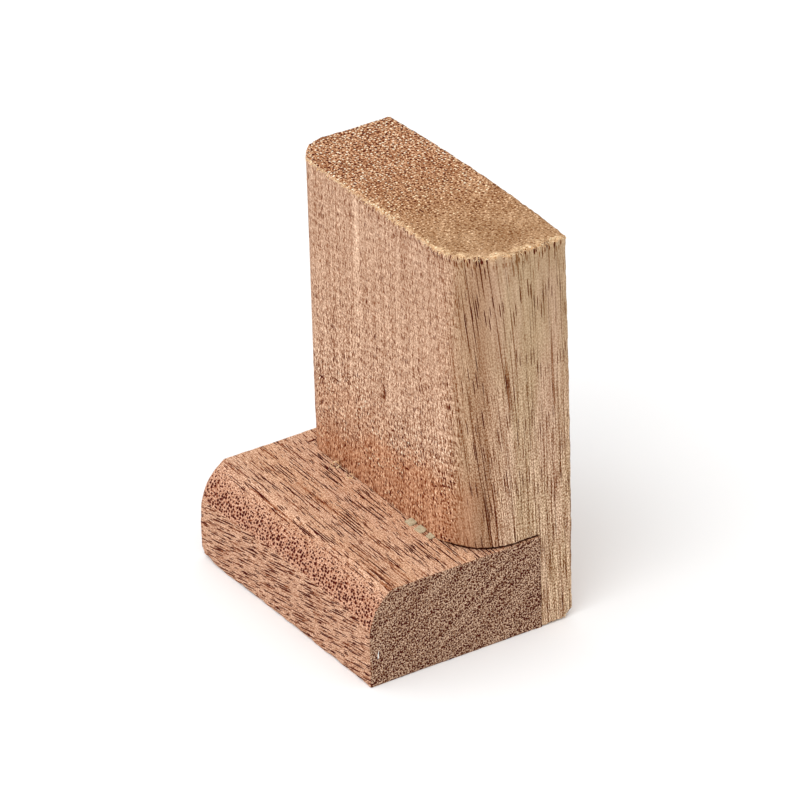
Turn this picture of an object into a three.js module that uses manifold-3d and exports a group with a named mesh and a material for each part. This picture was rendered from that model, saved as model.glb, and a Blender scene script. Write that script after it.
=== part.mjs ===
// Neck block of an acoustic guitar: an upright of vertical grain, and a foot of cross grain that is
// glued into a rebate in the upright's lower front, with some glue squeezed out along the joint.
//
// Millimetres. +Z is up the upright, +X is to the right across the guitar, and -Y is the way the foot
// points, into the guitar's body. The origin is the middle of the underside.

import * as THREE from "three";
import { mergeVertices } from "three/addons/utils/BufferGeometryUtils.js";
import Module from "manifold-3d";

const wasm = await Module();
wasm.setup();

// Driving dimensions
const WIDTH = 75;
const HEIGHT = 102;
const FOOT_HEIGHT = 24.7;
const FOOT_REACH = 27.6; // how far the foot stands out in front of the upright
const TONGUE = 8.7; // the upright's thickness behind the foot, at its side
const DEPTH_AT_SEAT = 29.1; // the upright's thickness just above the foot, at its side
const DEPTH_AT_TOP = 27.8;
const REAR_RISE = 1.3; // how far the middle of the curved rear face stands behind its sides
const LEFT_RADIUS_AT_SEAT = 12.6; // the upright's rounded front corners
const LEFT_RADIUS_AT_TOP = 9.4;
const RIGHT_RADIUS = 13.4;
const NOSE_RADIUS = 13; // the foot's rounded upper front edge
const NOSE_CUT = 1.6; // how far the nose's circle would rise above the foot's flat top

// The glued joint
const SEAT_GLUE = 0.3;
const BACK_GLUE = 0.12;
const GLUE_INSET = 0.7; // the film stops this far inside the faces that show its edge

// Facets
const REAR_FACETS = 7;
const CORNER_STEPS = 12;
const NOSE_STEPS = 12;

// Values that follow from them
const SEAT = FOOT_HEIGHT + SEAT_GLUE; // height of the rebate's ceiling
const TOTAL_DEPTH = REAR_RISE + DEPTH_AT_SEAT + FOOT_REACH;
const REAR_MIDDLE = TOTAL_DEPTH / 2;
const REAR_SIDE = REAR_MIDDLE - REAR_RISE; // y of the rear face at its two sides
const WALL = REAR_SIDE - TONGUE; // y of the rebate's upright wall
const FRONT = REAR_SIDE - DEPTH_AT_SEAT; // y of the upright's front face at the seat
const OVERCUT = 5; // how far a cutting block runs past the wood

const uprightWood = new THREE.MeshStandardMaterial({ color: 0xc39a76, roughness: 0.8, metalness: 0 });
const footWood = new THREE.MeshStandardMaterial({ color: 0xc08a66, roughness: 0.8, metalness: 0 });
const driedGlue = new THREE.MeshStandardMaterial({ color: 0xb7a68a, roughness: 0.45, metalness: 0 });

// A closed three.js geometry as a manifold-3d solid.
function toSolid(geometry) {
  const bare = new THREE.BufferGeometry().setAttribute("position", geometry.getAttribute("position"));
  if (geometry.index) bare.setIndex(geometry.index);
  const merged = mergeVertices(bare, 1e-4);
  const mesh = new wasm.Mesh({
    numProp: 3,
    vertProperties: new Float32Array(merged.attributes.position.array),
    triVerts: new Uint32Array(merged.index.array),
  });
  return new wasm.Manifold(mesh);
}

function toMesh(name, solid, material) {
  const { vertProperties, triVerts } = solid.getMesh();
  const geometry = new THREE.BufferGeometry();
  geometry.setAttribute("position", new THREE.BufferAttribute(new Float32Array(vertProperties), 3));
  geometry.setIndex(new THREE.BufferAttribute(new Uint32Array(triVerts), 1));
  geometry.computeVertexNormals();
  const mesh = new THREE.Mesh(geometry, material);
  mesh.name = name;
  return mesh;
}

// A box given by its lowest and highest corners, which its vertices take exactly.
function block(low, high) {
  const geometry = new THREE.BoxGeometry();
  const position = geometry.getAttribute("position");
  for (let i = 0; i < position.count; i++) {
    const corner = [position.getX(i), position.getY(i), position.getZ(i)];
    position.setXYZ(i, ...corner.map((side, axis) => (side < 0 ? low[axis] : high[axis])));
  }
  return toSolid(geometry);
}

// Points along a quarter of a circle, turning anticlockwise from a given angle.
function quarterArc(x, y, radius, from) {
  return Array.from({ length: CORNER_STEPS + 1 }, (_, i) => {
    const turn = from + (Math.PI / 2) * (i / CORNER_STEPS);
    return new THREE.Vector2(x + radius * Math.cos(turn), y + radius * Math.sin(turn));
  });
}

// A size of the upright at height z, which changes evenly from the foot's top to the upright's top.
function atHeight(z, sizeAtSeat, sizeAtTop) {
  return sizeAtSeat + ((sizeAtTop - sizeAtSeat) * (z - FOOT_HEIGHT)) / (HEIGHT - FOOT_HEIGHT);
}

// Plan of the upright at height z, less an inset all round: a curved rear and two rounded front
// corners.
function uprightPlan(z, inset = 0) {
  const half = WIDTH / 2 - inset;
  const rearRadius = ((WIDTH / 2) ** 2 + REAR_RISE ** 2) / (2 * REAR_RISE);
  const rearCentre = REAR_MIDDLE - rearRadius;
  const front = REAR_SIDE - atHeight(z, DEPTH_AT_SEAT, DEPTH_AT_TOP) + inset;
  const left = atHeight(z, LEFT_RADIUS_AT_SEAT, LEFT_RADIUS_AT_TOP) - inset;
  const right = RIGHT_RADIUS - inset;
  const points = [];
  for (let i = 0; i <= REAR_FACETS; i++) {
    const x = half - (2 * half * i) / REAR_FACETS;
    points.push(new THREE.Vector2(x, rearCentre + Math.sqrt((rearRadius - inset) ** 2 - x ** 2)));
  }
  points.push(...quarterArc(left - half, front + left, left, Math.PI));
  points.push(...quarterArc(half - right, front + right, right, 1.5 * Math.PI));
  return points;
}

function extruded(points, depth) {
  return new THREE.ExtrudeGeometry(new THREE.Shape(points), { depth, bevelEnabled: false });
}

function nearestIndex(points, place) {
  const distances = points.map((point) => point.distanceTo(place));
  return distances.indexOf(Math.min(...distances));
}

// The upright is extruded from its base plan, and the points of its upper end move to its top plan.
function taperedUpright() {
  const base = uprightPlan(0);
  const top = uprightPlan(HEIGHT);
  const geometry = extruded(base, HEIGHT);
  const position = geometry.getAttribute("position");
  for (let i = 0; i < position.count; i++) {
    if (position.getZ(i) < HEIGHT / 2) continue;
    const place = new THREE.Vector2(position.getX(i), position.getY(i));
    const { x, y } = top[nearestIndex(base, place)];
    position.setXY(i, x, y);
  }
  return toSolid(geometry);
}

function uprightBlock() {
  const rebate = block([-WIDTH, WALL - WIDTH, -OVERCUT], [WIDTH, WALL, SEAT]);
  return toMesh("upright_block", taperedUpright().subtract(rebate), uprightWood);
}

// Side view of the foot, with x towards the rear and y up.
function footProfile() {
  const rear = WALL - BACK_GLUE;
  const front = FRONT - FOOT_REACH;
  const centreHeight = FOOT_HEIGHT + NOSE_CUT - NOSE_RADIUS;
  const lastTurn = Math.asin((NOSE_RADIUS - NOSE_CUT) / NOSE_RADIUS);
  const points = [new THREE.Vector2(rear, 0), new THREE.Vector2(rear, FOOT_HEIGHT)];
  for (let i = NOSE_STEPS; i >= 0; i--) {
    const turn = lastTurn * (i / NOSE_STEPS);
    points.push(
      new THREE.Vector2(
        front + NOSE_RADIUS * (1 - Math.cos(turn)),
        i === NOSE_STEPS ? FOOT_HEIGHT : centreHeight + NOSE_RADIUS * Math.sin(turn),
      ),
    );
  }
  points.push(new THREE.Vector2(front, 0));
  return points;
}

// Turns a profile drawn in x and y, and extruded along z, to stand in the Y-Z plane and run along X.
function acrossWidth(geometry) {
  const yAxis = new THREE.Vector3(0, 1, 0);
  const zAxis = new THREE.Vector3(0, 0, 1);
  const xAxis = new THREE.Vector3(1, 0, 0);
  return geometry.applyMatrix4(new THREE.Matrix4().makeBasis(yAxis, zAxis, xAxis));
}

function footBlock() {
  const geometry = extruded(footProfile(), WIDTH);
  acrossWidth(geometry).translate(-WIDTH / 2, 0, 0);
  return toMesh("foot_block", toSolid(geometry), footWood);
}

// The cured glue between the two blocks: a sheet on the foot's top that turns down behind the foot.
function glueFilm() {
  const column = toSolid(extruded(uprightPlan(FOOT_HEIGHT, GLUE_INSET), HEIGHT));
  const seat = column.intersect(block([-WIDTH, WALL - WIDTH, FOOT_HEIGHT], [WIDTH, WALL, SEAT]));
  const edge = WIDTH / 2 - GLUE_INSET;
  const back = block([-edge, WALL - BACK_GLUE, GLUE_INSET], [edge, WALL, SEAT]);
  return toMesh("glue_film", seat.add(back), driedGlue);
}

// A bead of squeezed-out glue, scraped to a sloping flat, in the corner between foot and upright.
function glueBead(name, x, length, reach, rise) {
  const profile = [
    new THREE.Vector2(0, 0),
    new THREE.Vector2(0, rise),
    new THREE.Vector2(-0.12 * reach, rise),
    new THREE.Vector2(-reach, 0.3 * rise),
    new THREE.Vector2(-reach, 0),
  ];
  const geometry = acrossWidth(extruded(profile, length)).translate(x - length / 2, FRONT, FOOT_HEIGHT);
  return toMesh(name, toSolid(geometry), driedGlue);
}

const neckBlock = new THREE.Group();
neckBlock.add(uprightBlock());
neckBlock.add(footBlock());
neckBlock.add(glueFilm());
neckBlock.add(glueBead("glue_bead_left", 14.5, 2.8, 1.9, 0.7));
neckBlock.add(glueBead("glue_bead_middle", 18.6, 3.0, 1.9, 0.7));
neckBlock.add(glueBead("glue_bead_right", 22.5, 2.4, 1.4, 0.5));

export default neckBlock;
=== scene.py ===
"""Looks of a guitar's wooden neck block: raw, open-pored wood, torn grain and squeezed-out glue.

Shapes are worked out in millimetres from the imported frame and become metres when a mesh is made.
The upright's grain runs along Z and the foot's along X.
"""

import math

import bpy
import numpy as np
from mathutils import Matrix, Vector


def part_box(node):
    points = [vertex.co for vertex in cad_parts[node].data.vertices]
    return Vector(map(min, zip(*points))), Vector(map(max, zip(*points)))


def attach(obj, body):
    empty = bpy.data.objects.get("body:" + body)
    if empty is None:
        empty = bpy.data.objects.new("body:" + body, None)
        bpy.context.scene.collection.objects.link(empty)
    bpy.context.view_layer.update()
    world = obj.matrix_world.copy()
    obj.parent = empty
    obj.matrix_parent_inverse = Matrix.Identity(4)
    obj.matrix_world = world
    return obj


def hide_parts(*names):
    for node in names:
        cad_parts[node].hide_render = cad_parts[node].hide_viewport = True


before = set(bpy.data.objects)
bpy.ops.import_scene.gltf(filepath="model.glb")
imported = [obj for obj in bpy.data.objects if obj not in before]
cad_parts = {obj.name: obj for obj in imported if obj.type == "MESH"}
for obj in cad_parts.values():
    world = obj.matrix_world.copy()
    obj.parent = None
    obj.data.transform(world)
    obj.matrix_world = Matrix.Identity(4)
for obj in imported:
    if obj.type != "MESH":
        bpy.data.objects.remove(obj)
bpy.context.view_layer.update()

MM = 0.001


# --- Sizes taken from the frame, in millimetres ---


def box_mm(node):
    """Lowest and highest corner of a CAD node."""
    low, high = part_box(node)
    return np.array(low) / MM, np.array(high) / MM


def vertices_mm(node):
    """The corners of a CAD node's mesh."""
    return np.array([v.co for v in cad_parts[node].data.vertices]) / MM


TINY = 0.01  # points that are closer than this are one point
upright_high = box_mm("upright_block")[1]
foot_low, foot_high = box_mm("foot_block")
film_high = box_mm("glue_film")[1]
upright_corners = vertices_mm("upright_block")

HALF = upright_high[0]  # half the block's width
HEIGHT = upright_high[2]
SEAT = film_high[2]  # height of the rebate's ceiling
WALL = film_high[1]  # y of the rebate's wall, behind the foot
FRONT = box_mm("glue_bead_left")[1][1]  # y of the upright's front at the foot's top
REAR_MIDDLE = upright_high[1]
REAR_SIDE = upright_corners[upright_corners[:, 0] > HALF - TINY][:, 1].max()
TOP_FRONT = upright_corners[upright_corners[:, 2] > HEIGHT - TINY][:, 1].min()
FOOT_FRONT = foot_low[1]
FOOT_REAR = foot_high[1]
FOOT_TOP = foot_high[2]
NOSE_RADIUS = 13.0  # the foot's rounded upper front edge, as in the CAD
NOSE_CUT = 1.6  # how far the nose's circle would rise above the foot's flat top


def front_at(z):
    """The y of the upright's front, which leans back from the foot's top upwards."""
    return FRONT + (TOP_FRONT - FRONT) * (z - FOOT_TOP) / (HEIGHT - FOOT_TOP)


def corner_radius(side, z):
    """Radius of the upright's rounded front corner on one side, at a height where the CAD has points."""
    x, y = upright_corners[:, 0], upright_corners[:, 1]
    level = np.abs(upright_corners[:, 2] - z) < TINY
    return y[level & (side * x > HALF - TINY)].min() - front_at(z)


LEFT_RADIUS_AT_SEAT = corner_radius(-1, SEAT)
LEFT_RADIUS_AT_TOP = corner_radius(-1, HEIGHT)
RIGHT_RADIUS = corner_radius(1, HEIGHT)


# --- Smooth noise and small maths on arrays of points ---


def lattice(cell, seed):
    """A repeatable number from 0 to 1 for each whole-numbered point."""
    x, y, z = (cell[..., axis].astype(np.int64).astype(np.uint64) for axis in range(3))
    mixed = x * np.uint64(374761393) + y * np.uint64(668265263) + z * np.uint64(2246822519)
    mixed = (mixed + np.uint64(seed * 97531 + 12345)) & np.uint64(0xFFFFFFFF)
    mixed = ((mixed ^ (mixed >> np.uint64(13))) * np.uint64(1274126177)) & np.uint64(0xFFFFFFFF)
    return ((mixed ^ (mixed >> np.uint64(16))) & np.uint64(0xFFFF)).astype(float) / 0xFFFF


def noise(points, size, seed):
    """Smooth noise from -1 to 1, whose features have one size or a size along each axis."""
    place = points / np.array(size, float) + seed * 17.3
    cell = np.floor(place)
    inside = place - cell
    inside = inside * inside * (3 - 2 * inside)
    total = 0.0
    for corner in np.ndindex(2, 2, 2):
        corner = np.array(corner)
        weight = np.where(corner == 1, inside, 1 - inside).prod(axis=-1)
        total = total + weight * lattice(cell + corner, seed)
    return 2 * total - 1


def rise(value, start, end):
    """0 before start, 1 after end and smooth between them, whichever of them is larger."""
    t = np.clip((value - start) / (end - start), 0, 1)
    return t * t * (3 - 2 * t)


def at_shares(line, shares):
    """Points at shares of a line's length, and the number of the line's part that each is on."""
    lengths = np.linalg.norm(np.diff(line, axis=0), axis=1)
    along = np.concatenate([[0], np.cumsum(lengths)])
    wanted = shares * along[-1]
    points = np.stack([np.interp(wanted, along, side) for side in line.T], axis=1)
    return points, np.clip(np.searchsorted(along, wanted) - 1, 0, len(line) - 2)


def resample(line, steps, grading=0.0):
    """A line's points moved to equal steps along it. Grading makes the steps finer near both ends."""
    t = np.linspace(0, 1, steps + 1)
    return at_shares(line, t - grading * np.sin(2 * np.pi * t) / (2 * np.pi))[0]


def straight(start, end, steps):
    """Points at equal steps along a straight line."""
    return resample(np.array([start, end], float), steps)


def graded(start, end, steps, grading):
    """Numbers from start to end, with finer steps near both."""
    return resample(np.array([[start], [end]]), steps, grading)[:, 0]


def arc(centre, radius, start, end, steps=48):
    """Points of a circle's arc between two angles in degrees."""
    turn = np.radians(np.linspace(start, end, steps + 1))
    return np.array(centre) + radius * np.stack([np.cos(turn), np.sin(turn)], axis=1)


def unit(vectors):
    """Vectors made 1 long."""
    return vectors / np.maximum(np.linalg.norm(vectors, axis=-1, keepdims=True), 1e-12)


def distance_from(points, line):
    """Distance of each point from the nearest point of a line."""
    nearest = np.full(len(points), np.inf)
    for place in line:
        nearest = np.minimum(nearest, np.linalg.norm(points - place, axis=1))
    return nearest


def pressed(points, centre, reach, move):
    """Points moved near a place, the most at the place itself."""
    distance = np.linalg.norm((points - np.array(centre)) / np.array(reach), axis=1)
    share = np.clip(1 - distance**2, 0, None) ** 1.5
    return points + share[:, None] * np.array(move, float)


# --- Surfaces made of patches: grids of points that meet at their borders ---


def coons(bottom, right, top, left):
    """A grid between four lines. Bottom and top run the same way, and so do left and right."""
    u = np.linspace(0, 1, len(bottom))[None, :, None]
    v = np.linspace(0, 1, len(left))[:, None, None]
    across = (1 - v) * bottom[None] + v * top[None]
    along = (1 - u) * left[:, None] + u * right[:, None]
    corners = (1 - u) * (1 - v) * bottom[0] + u * (1 - v) * bottom[-1]
    corners = corners + (1 - u) * v * top[0] + u * v * top[-1]
    return across + along - corners


ENDS = ("first row", "last row")
ALL_BORDERS = (*ENDS, "first column", "last column")


def patch_normals(grid):
    """Unit normals of a grid's points."""
    across = np.gradient(grid, axis=1)
    along = np.gradient(grid, axis=0)
    return unit(np.cross(across, along))


def border_distance(grid, border):
    """Distance of each point of a grid from one of its borders, measured along the grid."""
    flip = border in ("last row", "last column")
    axis = 0 if "row" in border else 1
    line = np.flip(grid, axis) if flip else grid
    steps = np.linalg.norm(np.diff(line, axis=axis), axis=-1)
    start = np.zeros_like(np.take(steps, [0], axis=axis))
    distance = np.concatenate([start, np.cumsum(steps, axis=axis)], axis=axis)
    return np.flip(distance, axis) if flip else distance


ARRIS_PULL = 0.293  # how far a rounded arris lies inside a sharp one, for each unit of its radius


def worn_shift(grid, borders, radius_at):
    """How far wear moves each point of a patch inwards, near the borders that are arrises."""
    shift = np.zeros(grid.shape[:2])
    for border in borders:
        distance = border_distance(grid, border)
        radius = radius_at(grid)
        shift += ARRIS_PULL * radius * np.clip(1 - distance / radius, 0, 1) ** 2
    return -patch_normals(grid) * shift[..., None]


def corners_of(grid):
    """The values of a grid at the four corners of each of its quads."""
    return np.stack((grid[:-1, :-1], grid[:-1, 1:], grid[1:, 1:], grid[1:, :-1]), axis=2)


def weld(patches, radius_at):
    """Joins patches into points, quads and the quads' corners' own places in the grain.

    A patch is a grid of points, its borders that are arrises, and the grid of its places in the grain:
    the distance across the fibres and the distance along them.
    """
    grids = [grid for grid, _, _ in patches]
    every = np.concatenate([grid.reshape(-1, 3) for grid in grids])
    _, first, index = np.unique(np.round(every / TINY), axis=0, return_index=True, return_inverse=True)
    index = index.reshape(-1)
    shifts = [worn_shift(grid, borders, radius_at).reshape(-1, 3) for grid, borders, _ in patches]
    points = every[first]
    np.add.at(points, index, np.concatenate(shifts))
    quads = []
    start = 0
    for grid in grids:
        rows, columns = grid.shape[:2]
        place = index[start : start + rows * columns].reshape(rows, columns)
        quads.append(corners_of(place).reshape(-1, 4))
        start += rows * columns
    places = [corners_of(place).reshape(-1, 2) for _, _, place in patches]
    return points, np.concatenate(quads), np.concatenate(places)


def normals_of(points, quads):
    """Unit normals of a mesh's points."""
    first, second, third, fourth = (points[quads[:, corner]] for corner in range(4))
    faces = np.cross(third - first, fourth - second)
    normal = np.zeros_like(points)
    for corner in range(4):
        np.add.at(normal, quads[:, corner], faces)
    return unit(normal)


def placed(name, data):
    """A new object in the scene."""
    made = bpy.data.objects.new(name, data)
    bpy.context.scene.collection.objects.link(made)
    return made


def make_object(name, points, faces, material, nodes=(), masks=None, places=None):
    """A smooth mesh piece from points in millimetres, which may hold masks and places in the grain."""
    mesh = bpy.data.meshes.new(name)
    mesh.from_pydata((points * MM).tolist(), [], faces)
    for mask, values in (masks or {}).items():
        attribute = mesh.attributes.new(mask, "FLOAT", "POINT")
        attribute.data.foreach_set("value", np.asarray(values, np.float32))
    if places is not None:
        attribute = mesh.attributes.new("grain", "FLOAT_VECTOR", "CORNER")
        attribute.data.foreach_set("vector", np.insert(places, 2, 0, axis=1).astype(np.float32).ravel())
    mesh.polygons.foreach_set("use_smooth", [True] * len(mesh.polygons))
    mesh.materials.append(material)
    piece = placed(name, mesh)
    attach(piece, "root")
    if nodes:
        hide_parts(*nodes)
    return piece


def tube_faces(rings, sides, start=0):
    """Faces of a closed tube whose points stand in rings, from the point with a given number on."""
    faces = []
    for ring in range(start, start + (rings - 1) * sides, sides):
        for side in range(sides):
            after = (side + 1) % sides
            faces.append((ring + side, ring + after, ring + sides + after, ring + sides + side))
    last = start + (rings - 1) * sides
    faces.append(tuple(range(start, start + sides))[::-1])
    faces.append(tuple(range(last, last + sides)))
    return faces


FIBRE_RINGS = 5
FIBRE_SIDES = 5
FIBRE_FLATNESS = 0.55  # a fibre's thickness, as a share of its width
FIBRE_TAPER = 0.88  # how much of its width a fibre loses up to its tip
ANY_WAY = (0.36, 0.48, 0.8)  # a direction that no fibre has


def fibres(roots, ways, bends, lengths, radii):
    """Points and faces of thin, flattened fibres that taper from their roots to their tips."""
    t = np.linspace(0, 1, FIBRE_RINGS)
    turn = np.linspace(0, 2 * np.pi, FIBRE_SIDES, endpoint=False)
    ways = unit(ways)
    wide = unit(np.cross(ways, ANY_WAY))
    thin = FIBRE_FLATNESS * np.cross(ways, wide)
    centre = roots[:, None] + (ways * lengths[:, None])[:, None] * t[:, None]
    centre = centre + bends[:, None] * (t**2)[:, None]
    around = wide[:, None] * np.cos(turn)[:, None] + thin[:, None] * np.sin(turn)[:, None]
    thickness = radii[:, None] * (1 - FIBRE_TAPER * t**1.5)
    points = centre[:, :, None] + thickness[:, :, None, None] * around[:, None]
    faces = []
    for start in range(0, points[..., 0].size, FIBRE_RINGS * FIBRE_SIDES):
        faces += tube_faces(FIBRE_RINGS, FIBRE_SIDES, start)
    return points.reshape(-1, 3), faces


# --- Materials ---

END_GRAIN = (0.55, 0.85)  # how squarely a surface cuts the fibres, from no end grain to all
MARK_SCATTER = 0.85  # how irregularly marks stand
CORE = 0.66  # the share of a mark's radius within which it is at its darkest


def shown(colour):
    """A screen colour, with numbers from 0 to 255, as shares of white."""
    return (*(number / 255 for number in colour), 1.0)


class Shader:
    """Builds one material out of nodes. Its sizes are in millimetres."""

    def __init__(self, name):
        self.material = bpy.data.materials.new(name)
        self.material.use_nodes = True
        self.tree = self.material.node_tree
        self.principled = self.tree.nodes["Principled BSDF"]

    def feed(self, socket, value):
        if isinstance(value, bpy.types.NodeSocket):
            self.tree.links.new(value, socket)
        elif value is not None:
            socket.default_value = value

    def node(self, kind, *values, output=0, **settings):
        """Adds a node, feeds its inputs in order and returns one of its outputs."""
        made = self.tree.nodes.new("ShaderNode" + kind)
        for setting, value in settings.items():
            setattr(made, setting, value)
        for socket, value in zip(made.inputs, values):
            self.feed(socket, value)
        return made.outputs[output]

    def calc(self, operation, *values):
        return self.node("Math", *values, operation=operation)

    def vector(self, operation, *values):
        """A vector or a number worked out from vectors."""
        output = 1 if operation in ("DOT_PRODUCT", "LENGTH") else 0
        return self.node("VectorMath", *values, output=output, operation=operation)

    def mask(self, name):
        """A float that the mesh holds at each point."""
        return self.node("Attribute", attribute_name=name, output=2)

    def place(self, name):
        """A vector that the mesh holds at each corner of its faces."""
        return self.node("Attribute", attribute_name=name, output=1)

    def here(self):
        """The place in the frame, in millimetres."""
        return self.vector("MULTIPLY", self.node("TexCoord", output=3), (1 / MM, 1 / MM, 1 / MM))

    def flat(self, place, first, second):
        """A flat place made of two of a place's three sides."""
        sides = self.node("SeparateXYZ", place).node.outputs
        return self.node("CombineXYZ", sides[first], sides[second], 0.0)

    def tilted(self, place, slope):
        """Flat places in the grain, with the fibres tilted by a slope."""
        along = self.node("SeparateXYZ", place, output=1)
        shift = self.node("CombineXYZ", self.calc("MULTIPLY", along, slope), 0.0, 0.0)
        return self.vector("ADD", place, shift)

    def scaled(self, place, size, seed):
        """Places measured in a size along each axis, and moved by a seed."""
        sizes = (*size, 1.0)[:3]
        shares = tuple(1 / side for side in sizes)
        return self.vector("MULTIPLY_ADD", place, shares, (seed, seed * 1.7, seed * 2.3))

    def noise(self, place, size, detail=2.0, roughness=0.6, seed=0.0):
        """Smooth noise, flat where the size has two sides."""
        kind = "2D" if len(size) == 2 else "3D"
        moved = self.scaled(place, size, seed)
        return self.node("TexNoise", moved, None, 1.0, detail, roughness, noise_dimensions=kind)

    def step(self, value, start, end, low=0.0, high=1.0):
        """Runs smoothly from low, where the value is at start, to high, where it is at end."""
        return self.node("MapRange", value, start, end, low, high, interpolation_type="SMOOTHSTEP")

    def swing(self, noise, reach=0.2):
        """Noise spread out to run from -1 to 1. A shorter reach from its middle spreads it more."""
        return self.step(noise, 0.5 - reach, 0.5 + reach, -1, 1)

    def between(self, factor, first, second):
        """A number between two numbers."""
        return self.node("Mix", factor, None, first, second)

    def mix(self, factor, first, second):
        """A colour between two, each of them an output or three numbers from 0 to 255."""
        colours = [shown(colour) if isinstance(colour, tuple) else colour for colour in (first, second)]
        return self.node("Mix", factor, *[None] * 5, *colours, output=2, data_type="RGBA")

    def marks(self, place, size, radius, crowding=1.0, seed=0.0, core=CORE):
        """Scattered ellipses on a flat place, such as pores: 1 inside them, and less in the faint ones.

        Their size is their spacing, and their radius, which varies by 30%, is a share of it.
        """
        moved = self.scaled(place, size, seed)
        distance = self.node("TexVoronoi", moved, None, 1.0, voronoi_dimensions="2D")
        distance.node.inputs["Randomness"].default_value = MARK_SCATTER
        random = self.node("SeparateColor", distance.node.outputs["Color"]).node.outputs
        own_radius = self.calc("MULTIPLY_ADD", random[0], 0.6 * radius, 0.7 * radius)
        limit = self.calc("MULTIPLY", own_radius, crowding)
        inside = self.step(distance, limit, self.calc("MULTIPLY", limit, core))
        strength = self.step(random[1], 0, 0.7, 0.45, 1)
        return self.calc("MULTIPLY", inside, strength)

    def strands(self, place, size, start, crowding=1.0, seed=0.0):
        """Long thin strands along the grain: 1 in their middles. A lower start makes them wider."""
        wave = self.calc("MULTIPLY", self.noise(place, size, 1, 0.5, seed), crowding)
        return self.step(wave, start, start + 0.09)

    def nick(self, place, centre, size, tilt):
        """A mark of a length and width on a flat place, tilted by some degrees: 1 along its middle."""
        middle = (*centre, 0.0)
        turned = (0.0, 0.0, math.radians(tilt))
        halves = (size[0] / 2, size[1] / 2, 1.0)
        inside = self.node("Mapping", place, middle, turned, halves, vector_type="TEXTURE")
        return self.step(self.vector("LENGTH", inside), 1.0, 0.35)

    def total(self, *values):
        """The sum of some values. A pair is a value and its factor."""
        added = 0.0
        for value in values:
            value, factor = value if isinstance(value, tuple) else (value, 1.0)
            added = self.calc("MULTIPLY_ADD", value, factor, added)
        return added

    def end_grain(self, axis):
        """1 where the surface cuts the fibres squarely."""
        normal = self.node("NewGeometry", output=1)
        facing = self.calc("ABSOLUTE", self.vector("DOT_PRODUCT", normal, axis))
        return self.step(facing, *END_GRAIN)

    def finish(self, colour, roughness, height, depth, gloss):
        """Feeds the shader. Depth is how far a height of 1 stands out."""
        bump = self.tree.nodes.new("ShaderNodeBump")
        bump.inputs["Distance"].default_value = depth * MM
        self.feed(bump.inputs["Height"], height)
        self.feed(self.principled.inputs["Base Color"], colour)
        self.feed(self.principled.inputs["Roughness"], roughness)
        self.feed(self.principled.inputs["Normal"], bump.outputs["Normal"])
        self.principled.inputs["Specular IOR Level"].default_value = gloss
        return self.material


LIGHT_TINT = (1.04, 0.98, 0.9)  # how much of a lighter tone goes into red, green and blue
DARK_TINT = (0.85, 1.06, 1.1)  # the same for a darker tone, so that dark marks look reddish
DARKEST = (0.28, 0.06, 0.0)  # screen colours that no tone goes past
LIGHTEST = (0.99, 0.93, 0.84)
SCREEN_GAMMA = 2.2


def toned(s, colour, tone):
    """A screen colour made lighter or darker by a tone in screen steps, as a linear colour."""
    step = s.calc("DIVIDE", tone, 255.0)
    lighter = s.calc("MAXIMUM", step, 0.0)
    darker = s.calc("MINIMUM", step, 0.0)
    lit = s.vector("MULTIPLY_ADD", s.node("CombineXYZ", lighter, lighter, lighter), LIGHT_TINT, colour)
    lit = s.vector("MULTIPLY_ADD", s.node("CombineXYZ", darker, darker, darker), DARK_TINT, lit)
    lit = s.vector("MAXIMUM", lit, DARKEST)
    lit = s.vector("MINIMUM", lit, LIGHTEST)
    return s.node("Gamma", lit, SCREEN_GAMMA)


WOOD_GLOSS = 0.1
WOOD_DEPTH = 0.16  # how far the wood's fine relief stands out, in millimetres


def finished_wood(s, colour, tone, height):
    """Finishes a wood, which is duller in its dark marks."""
    return s.finish(toned(s, colour, tone), s.step(tone, -80, 40, 0.9, 0.72), height, WOOD_DEPTH, WOOD_GLOSS)


def upright_side_tone(s, grain, lively, band):
    """Tones of the upright's sawn sides: long pores between fine fibres."""
    fibre = s.noise(grain, (0.3, 12), seed=3)
    grit = s.noise(grain, (0.3, 0.55), 1, seed=4)
    streak = s.noise(grain, (1.1, 40), 3, seed=5)
    crowding = s.step(s.noise(grain, (3, 45), 2, 0.5, seed=7), 0.35, 0.6, 0.92, 1.04)
    long_pores = s.strands(grain, (0.48, 40), 0.62, crowding, seed=11)
    short_pores = s.marks(grain, (0.8, 16), 0.145, crowding, seed=13)
    base = s.total((s.swing(fibre, 0.17), 17.0), (s.swing(grit, 0.18), 25.0))
    pores = s.total((long_pores, -48.0), (short_pores, -95.0))
    pores = s.calc("MULTIPLY", pores, s.step(band, 0, 1, 1, 1.7))
    tone = s.total(s.calc("MULTIPLY", base, lively), pores, (s.swing(streak), -6.0))
    height = s.total(fibre, (long_pores, -0.8), (short_pores, -0.5))
    return tone, height


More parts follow.
